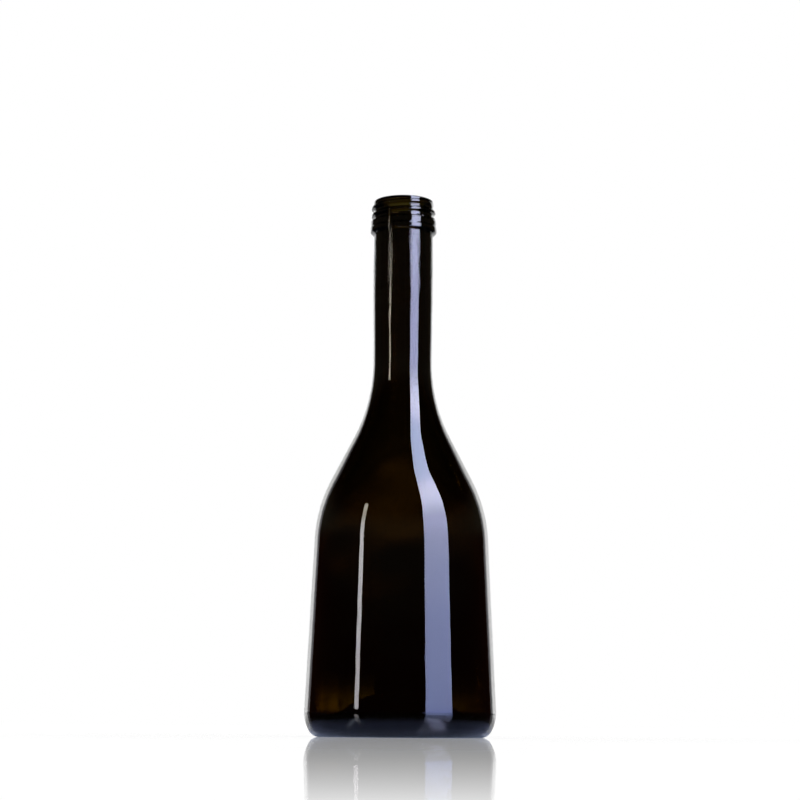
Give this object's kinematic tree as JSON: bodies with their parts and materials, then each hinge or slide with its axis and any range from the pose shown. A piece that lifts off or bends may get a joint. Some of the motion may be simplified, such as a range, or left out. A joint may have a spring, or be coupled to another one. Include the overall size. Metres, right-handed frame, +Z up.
{
  "type": "glass bottle",
  "caption": "Empty glass bottle with a flared body, sloping shoulder, long neck, domed base and a screw finish for a cap.",
  "frame": {"origin": "centre of the flat resting ring, on the surface that the bottle stands on", "axes": "+Z up along the bottle's axis, from the base to the mouth; -Y is the front"},
  "size_m": [0.0874, 0.0874, 0.25],
  "materials": {
    "glass": "gloss"
  },
  "bodies": {
    "root": {"bottle": "glass"}
  },
  "joints": []
}
